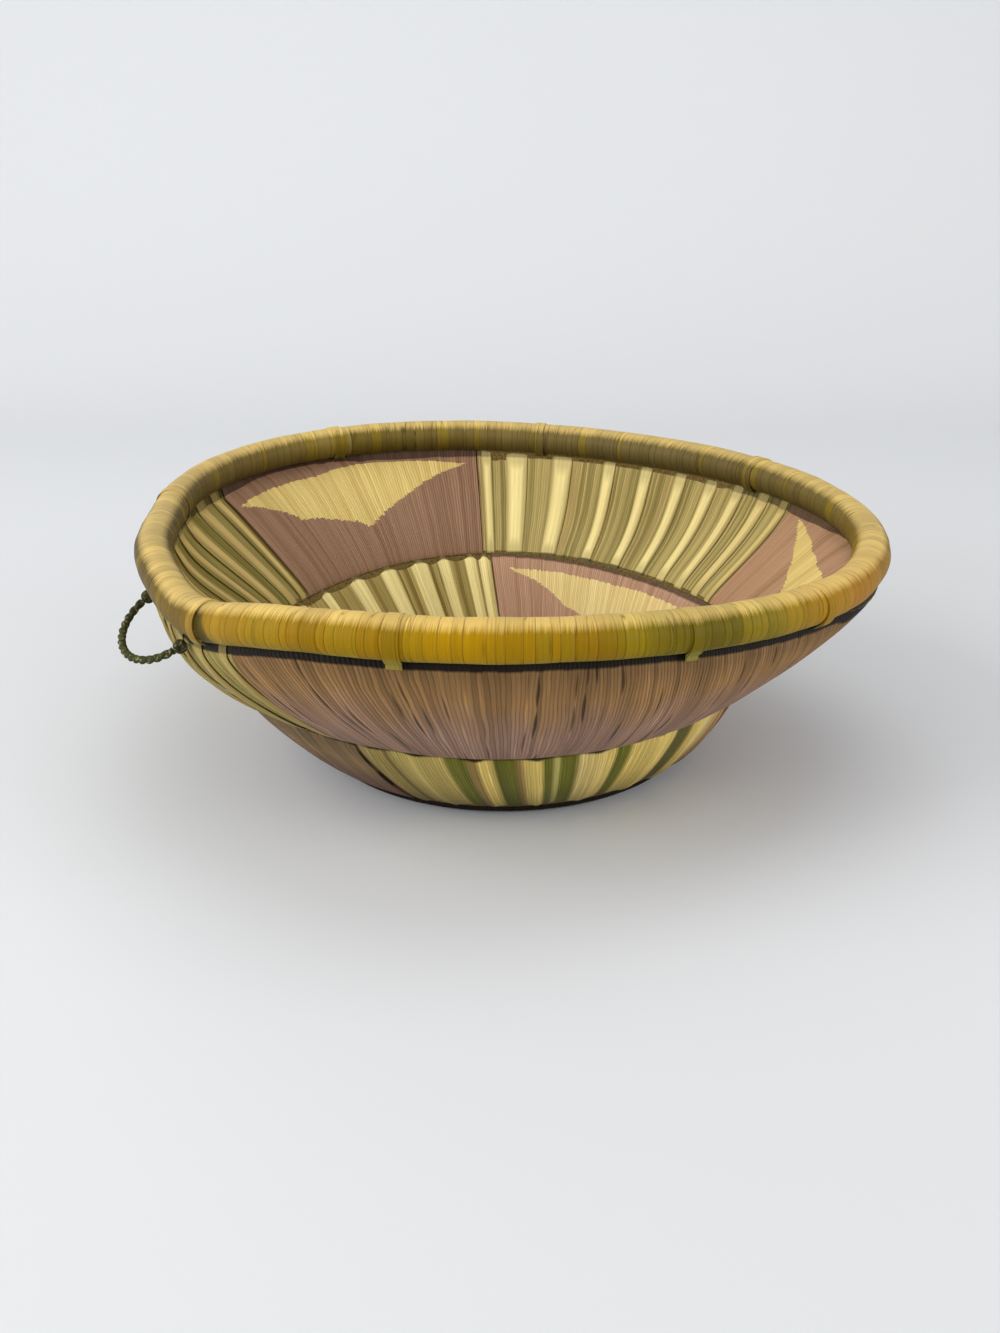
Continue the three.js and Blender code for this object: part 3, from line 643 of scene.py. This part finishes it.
def rib_material():
    """Cream palm leaf laid thick over a rib: smooth and pale on its crest, olive brown down its sides."""
    material, tree = new_material("cream_palm_rib")
    strip = strip_nodes(tree, 1.1, 0.6)
    place, tone, crest = stored_parts(tree, "rib")
    light = ramp(tree, tone, [(0.0, "#AC945C"), (0.4, "#C6AD6C"), (1.0, "#F1E09A")])
    away = calc(tree, "MULTIPLY_ADD", strip.veins, 0.3, calc(tree, "ABSOLUTE", place))
    away = calc(tree, "DIVIDE", away, crest)
    away = remap(tree, away, 0.45, 1.3, interpolation_type="SMOOTHSTEP")
    ends = from_middle(tree, strip.along)
    away = calc(tree, "MAXIMUM", away, remap(tree, ends, 0.4, 0.5, 0.0, 0.4))
    base = mix(tree, away, light, even_ramp(tree, strip.own, ("#7C7038", "#A08C50")))
    base = mix(tree, remap(tree, strip.depth, 0.0, 0.7, 0.0, 0.8), base, "#84733E")
    base = shade(tree, base, strip.veins, 0.84, 1.15)
    base = shade(tree, base, strip.joint, 1.0, 0.9)
    # Painted shade where the rib's ends tuck under the roll and into the seam, lighter at the top end
    under = remap(tree, ends, 0.54, 0.56)
    under = calc(tree, "MULTIPLY", under, upper_or_lower(tree, strip.along, 0.6, 1.0))
    finish_surface(tree, shade(tree, base, under, 1.0, 0.2), strip.height, 0.5, 0.00012)
    return material


def valley_material(name, tints):
    """Olive palm strips between the ribs, finer than the flat panels'."""
    material, tree = new_material(name)
    strip = strip_nodes(tree, STRIPS_PER_DEGREE * 1.1, 0.9)
    base = shade(tree, even_ramp(tree, strip.own, tints), strip.veins, 0.72, 1.22)
    base = open_slits(tree, base, strip, remap(tree, strip.depth, *FACES))
    finish_surface(tree, base, strip.height, 0.6, 0.0002)
    return material


def ribbed_wrap_material(name, bands, span):
    """Ribs of the lower coil: cream on their crests inside, and bands of cream and green outside."""
    material, tree = new_material(name)
    strip = strip_nodes(tree, STRIPS_PER_DEGREE * 0.9, 0.8)
    outer = ramp(tree, remap(tree, strip.angle, *span), scaled(bands, span))
    # Painted shade: the outside bands darken towards the foot, which faces down to the floor
    outer = shade(tree, outer, remap(tree, strip.along, 0.45, 1.0), 1.0, 0.62)
    away = calc(tree, "MULTIPLY_ADD", strip.veins, 0.4, stored_parts(tree, "rib")[0])
    inner = mix(tree, remap(tree, away, 1.1, 1.5), "#EBD994", even_ramp(tree, strip.own, LOWER_VALLEYS))
    outside = remap(tree, strip.depth, *FACES)
    base = shade(tree, mix(tree, outside, inner, outer), strip.own, 0.85, 1.12)
    base = shade(tree, base, strip.veins, 0.8, 1.2)
    base = open_slits(tree, base, strip, outside, loose=0.0)
    finish_surface(tree, base, strip.height, 0.55, 0.0002)
    return material


def rim_material(name, tones, span):
    """Golden strips wound round the roll, each with its own tone, a painted highlight on top and a fine
    dark joint.
    """
    material, tree = new_material(name)
    angle, out, up = stored_parts(tree, "weave")
    slow = calc(tree, "MULTIPLY", angle, 0.45)
    slow = add(tree, "TexNoise", {"W": slow, "Scale": 1.0, "Detail": 2.0}, noise_dimensions="1D")
    lean = calc(tree, "MULTIPLY_ADD", out, 0.35, angle)
    count = calc(tree, "MULTIPLY", calc(tree, "MULTIPLY_ADD", slow, 3.2, lean), 0.62)
    _, across, own = numbered(tree, count)
    centred = calc(tree, "ABSOLUTE", calc(tree, "MULTIPLY_ADD", across, 2.0, -1.0))
    rounded = calc(tree, "POWER", centred, 6.0)
    joint = remap(tree, rounded, 0.45, 1.0)
    fibres = stretched_noise(tree, (lean, out, up), (7.0, 0.5, 0.5), 3.0)

    tilted = calc(tree, "MULTIPLY_ADD", up, 1.3, angle)
    base = ramp(tree, remap(tree, tilted, *span), scaled(tones, span))
    base = mix(tree, remap(tree, own, 0.76, 0.8, 0.0, 0.5), base, "#7A660C")
    # Painted highlight: the top of the roll is paler, as if lit from above
    painted_highlight_on_top = calc(tree, "MULTIPLY_ADD", fibres, 0.5, up)
    base = mix(tree, remap(tree, painted_highlight_on_top, 0.84, 1.12, 0.0, 0.62), base, "#DFC074")
    # Painted light: the underside of the roll is paler and greyer, as if lit by the floor below
    base = mix(tree, remap(tree, up, -0.62, -0.9, 0.0, 0.6), base, "#8C8644")
    # Painted shade: the roll's inner lower face darkens, where it looks down into the bowl
    inner = calc(tree, "MULTIPLY", remap(tree, out, 0.2, -0.6), remap(tree, up, 0.3, -0.8))
    base = shade(tree, base, inner, 1.0, 0.5)
    base = shade(tree, base, own, 0.86, 1.12)
    base = shade(tree, base, fibres, 0.74, 1.26)
    dark = calc(tree, "FRACT", calc(tree, "MULTIPLY", own, 17.3))
    dark = calc(tree, "MULTIPLY", remap(tree, dark, 0.35, 0.9, 0.25, 0.95), joint)
    base = shade(tree, base, dark, 1.0, 0.35)

    height = calc(tree, "MULTIPLY_ADD", rounded, -1.0, 1.0)
    height = calc(tree, "MULTIPLY_ADD", fibres, 0.7, height)
    finish_surface(tree, base, height, 0.45, 0.0003, gloss=0.07)
    return material


def cord_material():
    """Two plies of dark dyed fibre, twisted by hand, with pale fibres showing through."""
    material, tree = new_material("dark_twisted_fibre")
    place = add(tree, "TexCoord", out=3)
    place = add(tree, "Mapping", {0: place, "Scale": (900.0, 900.0, 900.0)})
    specks = add(tree, "TexNoise", {"Vector": place, "Scale": 1.0, "Detail": 3.0}, noise_dimensions="3D")
    base = ramp(tree, specks, [(0.0, "#1C1C10"), (0.5, "#38381F"), (0.62, "#565532"), (0.75, "#A39A70")])
    finish_surface(tree, base, specks, 0.8, 0.0002)
    return material


def core_material():
    """The bundle of grass stems inside a coil, which the strips hide."""
    material, tree = new_material("bundled_grass_stems")
    place = add(tree, "TexCoord", out=3)
    grain = add(tree, "TexNoise", {"Vector": place, "Scale": 900.0, "Detail": 3.0}, noise_dimensions="3D")
    finish_surface(tree, ramp(tree, grain, [(0.3, "#4A3A1E"), (0.7, "#7C683A")]), grain, 0.8, 0.0002)
    return material


# Pieces

def hanging_loop(material):
    """A two-ply twisted cord between its two knots, as the solids have them."""
    rear, front = Vector(KNOT_REAR), Vector(KNOT_FRONT)
    chord = front - rear
    outward = chord.normalized().cross(Vector((0, 0, 1))).normalized()
    reach = outward * LOOP_OUT + Vector((0, 0, -LOOP_DROP))
    start = math.asin((KNOT_RADIUS + KNOT_GAP) / reach.length)
    count, sides, diameter, pitch = 150, 16, 0.0035, 0.0085
    route = []
    for i in range(count + 1):
        turn = start + (math.pi - 2 * start) * i / count
        route.append((rear + front) / 2 - chord * math.cos(turn) / 2 + reach * math.sin(turn))
    plane = chord.cross(reach).normalized()
    vertices, faces, gone = [], [], 0.0
    for i, point in enumerate(route):
        along = (route[min(i + 1, count)] - route[max(i - 1, 0)]).normalized()
        across = along.cross(plane)
        gone += (point - route[i - 1]).length if i else 0.0
        twist = 2 * math.pi * gone / pitch
        for k in range(sides):
            side = 2 * math.pi * k / sides
            ply = diameter / 2 * (PLY_WAIST + (1 - PLY_WAIST) * abs(math.cos(side)))
            turned = side + twist
            vertices.append(point + ply * (across * math.cos(turned) + plane * math.sin(turned)))
    for i in range(count):
        for k in range(sides):
            a, b = i * sides + k, i * sides + (k + 1) % sides
            faces.append((a, b, b + sides, a + sides))
    faces.append(tuple(range(sides))[::-1])
    faces.append(tuple(count * sides + k for k in range(sides)))
    mesh = bpy.data.meshes.new("hanging_loop_cord")
    mesh.from_pydata(vertices, [], faces)
    piece = bpy.data.objects.new("hanging_loop_cord", mesh)
    bpy.context.scene.collection.objects.link(piece)
    only(piece)
    bpy.ops.object.mode_set(mode="EDIT")
    bpy.ops.mesh.select_all(action="SELECT")
    bpy.ops.mesh.normals_make_consistent(inside=False)
    bpy.ops.object.mode_set(mode="OBJECT")
    smooth(piece)
    hand_in(piece, "hanging_loop", material, body="loop")
    return rear, front


def loop_knot(node, centre, other, material):
    """Turns of the cord where it leaves the wall: two about the line that it swings on, and one across."""
    inwards = (other - centre).normalized()
    wound = inwards.to_track_quat("Z", "Y").to_euler()
    turns = []
    for shift, tilt, ring, ply in (
        (0.0005, wound, 0.00145, 0.0013),
        (-0.0008, wound, 0.0016, 0.0013),
        (0.0, (1.0, 0.3, -0.5), 0.0013, 0.00115),
    ):
        bpy.ops.mesh.primitive_torus_add(
            location=centre + inwards * shift, rotation=tilt, major_radius=ring, minor_radius=ply,
            major_segments=28, minor_segments=12)
        turns.append(bpy.context.active_object)
    bpy.ops.object.select_all(action="DESELECT")
    for turn in turns:
        turn.select_set(True)
    bpy.context.view_layer.objects.active = turns[0]
    bpy.ops.object.join()
    bpy.ops.object.transform_apply(location=True, rotation=True, scale=True)
    piece = bpy.context.active_object
    piece.name = node + "_turns"
    smooth(piece)
    hand_in(piece, node, material)


def wrap_the_coils():
    # The last column is how strong the painted shade at each panel's lower end is
    for node, coil, edges, span, dyed, natural, top, low, low_end_shade in (
        ("upper_back_flat_wrap", "upper", MOTIF_BACK, (92, 144), DARK_MAUVE, NATURAL,
         "#8F7549", "#846454", 0.72),
        ("upper_front_flat_wrap", "upper", MOTIF_FRONT, (243, 382), PALE_MAUVE, NATURAL,
         "#84643E", "#8C6E5C", 0.72),
        ("lower_right_flat_wrap", "lower", MOTIF_RIGHT, (329, 450), LIGHT_MAUVE, PALE_NATURAL,
         "#94764C", "#86634A", 1.0),
        ("lower_left_flat_wrap", "lower", MOTIF_LEFT, (163, 245), MAUVE, NATURAL,
         "#7C6444", "#6C5040", 1.0),
    ):
        material = flat_panel_material(node + "_palm", edges, span, dyed, natural, top, low, low_end_shade)
        piece = finer(node, uneven_by=0.0006)
        reach_neighbours(piece, coil)
        write_weave(piece, sum(span) / 2, coil)
        hand_in(piece, node, material)
    for node, middle, tints in (
        ("upper_right_underwrap", 57, RIGHT_VALLEYS),
        ("upper_left_underwrap", 193, LEFT_VALLEYS),
    ):
        material = valley_material(node + "_palm", tints)
        piece = finer(node)
        reach_neighbours(piece, "upper")
        write_weave(piece, middle, "upper")
        hand_in(piece, node, material)
    material = rib_material()
    for side, middles, tones, crest in (
        ("right", RIGHT_RIBS, RIGHT_TONES, 1.05),
        ("left", LEFT_RIBS, LEFT_TONES, 0.9),
    ):
        for i, (middle, tone) in enumerate(zip(middles, tones)):
            node = f"upper_{side}_rib_{i + 1:02d}"
            width = WIDE_RIB if middle in WIDE_RIBS else END_RIB if i in (0, len(middles) - 1) else RIB
            piece = finer(node)
            reach_neighbours(piece, "upper")
            write_weave(piece, middle, "upper")
            write_rib(piece, middle, width, tone, crest)
            hand_in(piece, node, material)
    for node, bands, span, middles in (
        ("lower_front_ribbed_wrap", FRONT_BANDS, (245, 329), FRONT_RIBS),
        ("lower_back_ribbed_wrap", BACK_BANDS, (90, 163.7), BACK_RIBS),
    ):
        material = ribbed_wrap_material(node + "_palm", bands, span)
        piece = finer(node)
        reach_neighbours(piece, "lower")
        write_weave(piece, sum(span) / 2, "lower")
        write_nearest_rib(piece, middles)
        hand_in(piece, node, material)


def draw_close(piece, lump):
    """Draws a lashing close round the roll. The two in front show as small lumps below it."""
    close, lumpy, slack = 0.0094, 0.0114, 0.05
    for vertex in piece.data.vertices:
        x, y, z = vertex.co
        angle = math.atan2(y, x + RIM_DRIFT)
        radius, height = rim_curve(np.array([angle]))[0]
        out, up = math.hypot(x + RIM_DRIFT, y) - radius, z - height
        far = math.hypot(out, up)
        limit = lumpy if lump and out > -0.001 and up < -0.006 else close
        if far > limit:
            drawn = (limit + (far - limit) * slack) / far
            radius, height = radius + out * drawn, height + up * drawn
            vertex.co = (radius * math.cos(angle) - RIM_DRIFT, radius * math.sin(angle), height)


def wrap_the_rim():
    for node, slot, span, tones in RIM_LENGTHS:
        material = rim_material(node + "_palm", tones, span)
        piece = finer(node, swell=0.0008, uneven_by=0.0008)
        write_weave(piece, sum(span) / 2, "rim")
        hand_in(piece, node, material)
    material = rim_material("lashing_palm", LASHING_TONES, (0, 360))
    for i in range(1, 9):
        node = f"rim_lashing_{i}"
        piece = finer(node, sharp=50)
        draw_close(piece, lump=i < 3)
        write_weave(piece, 180, "rim")
        hand_in(piece, node, material)


def wrap_the_base():
    # The outside colours are near black: painted shade, the contact shadow under the foot
    material = flat_panel_material(
        "base_palm", MOTIF_BASE, (-10, 370), MAUVE, BASE_NATURAL, "#20170F", "#1A120C")
    for node, middle in (("base_back_wrap", 90), ("base_front_wrap", 270)):
        piece = finer(node)
        write_weave(piece, middle, "base")
        hand_in(piece, node, material)
    piece = finer("base_centre", sharp=50)
    write_weave(piece, 180, "base")
    write_rib(piece, 180, width=720, tone=0.8, crest=2.0)
    hand_in(piece, "base_centre", rib_material())


def fill_the_coils():
    """The cores end a little short of their wraps."""
    material = core_material()
    for node in ("upper_coil_core", "lower_coil_core", "base_coil_core", "rim_core"):
        piece = finer(node, levels=1)
        if node in ("upper_coil_core", "lower_coil_core"):
            reach_neighbours(piece, node[:5], short=0.0005)
        hand_in(piece, node, material)


def set_stage():
    """A pale floor that turns up into a pale wall behind the basket, and soft daylight from the left."""
    width, depth, nearer, wall, bend = 8, 5.2, 1.4, 3.0, 0.55
    back = depth / 2 - nearer
    bpy.ops.object.select_all(action="DESELECT")
    bpy.ops.mesh.primitive_plane_add(size=1, location=(0, 0, 0))
    floor = bpy.context.active_object
    floor.name = "floor"
    floor.data.transform(Matrix.Diagonal((width, depth, 1, 1)))
    floor.data.transform(Matrix.Translation((0, -nearer, 0)))
    bpy.ops.object.mode_set(mode="EDIT")
    bpy.ops.mesh.select_mode(type="EDGE")
    bpy.ops.mesh.select_all(action="DESELECT")
    bpy.ops.object.mode_set(mode="OBJECT")
    for edge in floor.data.edges:
        edge.select = all(floor.data.vertices[v].co.y > 1 for v in edge.vertices)
    bpy.ops.object.mode_set(mode="EDIT")
    bpy.ops.mesh.extrude_region_move(TRANSFORM_OT_translate={"value": (0, 0.05, wall)})
    bpy.ops.object.mode_set(mode="OBJECT")
    for edge in floor.data.edges:
        edge.select = all(abs(floor.data.vertices[v].co.y - back) < 0.01 for v in edge.vertices)
    bpy.ops.object.mode_set(mode="EDIT")
    bpy.ops.mesh.bevel(offset=bend, segments=16, profile=0.5, affect="EDGES")
    bpy.ops.object.mode_set(mode="OBJECT")
    smooth(floor, 80)
    material, tree = new_material("pale_matt_board")
    shader = add(tree, "BsdfPrincipled", {"Base Color": colour("#CACCCE"), "Roughness": 0.9})
    add(tree, "OutputMaterial", {"Surface": shader})
    floor.data.materials.append(material)
    world = bpy.data.worlds.new("pale_room")
    world.use_nodes = True
    world.node_tree.nodes.clear()
    light = add(world.node_tree, "Background", {"Color": colour("#F6F5F5"), "Strength": 0.74})
    add(world.node_tree, "OutputWorld", {"Surface": light})
    bpy.context.scene.world = world
    bpy.context.scene.view_settings.view_transform = "Standard"
    for name, place, size, power in LAMPS:
        lamp = bpy.data.lights.new(name, "AREA")
        lamp.size = size
        lamp.energy = power
        piece = bpy.data.objects.new(name, lamp)
        aim = (Vector((0, 0, 0.05)) - Vector(place)).to_track_quat("-Z", "Y")
        piece.matrix_world = Matrix.Translation(place) @ aim.to_matrix().to_4x4()
        bpy.context.scene.collection.objects.link(piece)


set_camera()
cord = cord_material()
knots = hanging_loop(cord)
loop_knot("loop_knot_rear", *knots, cord)
loop_knot("loop_knot_front", *reversed(knots), cord)
wrap_the_coils()
wrap_the_rim()
wrap_the_base()
fill_the_coils()
set_stage()
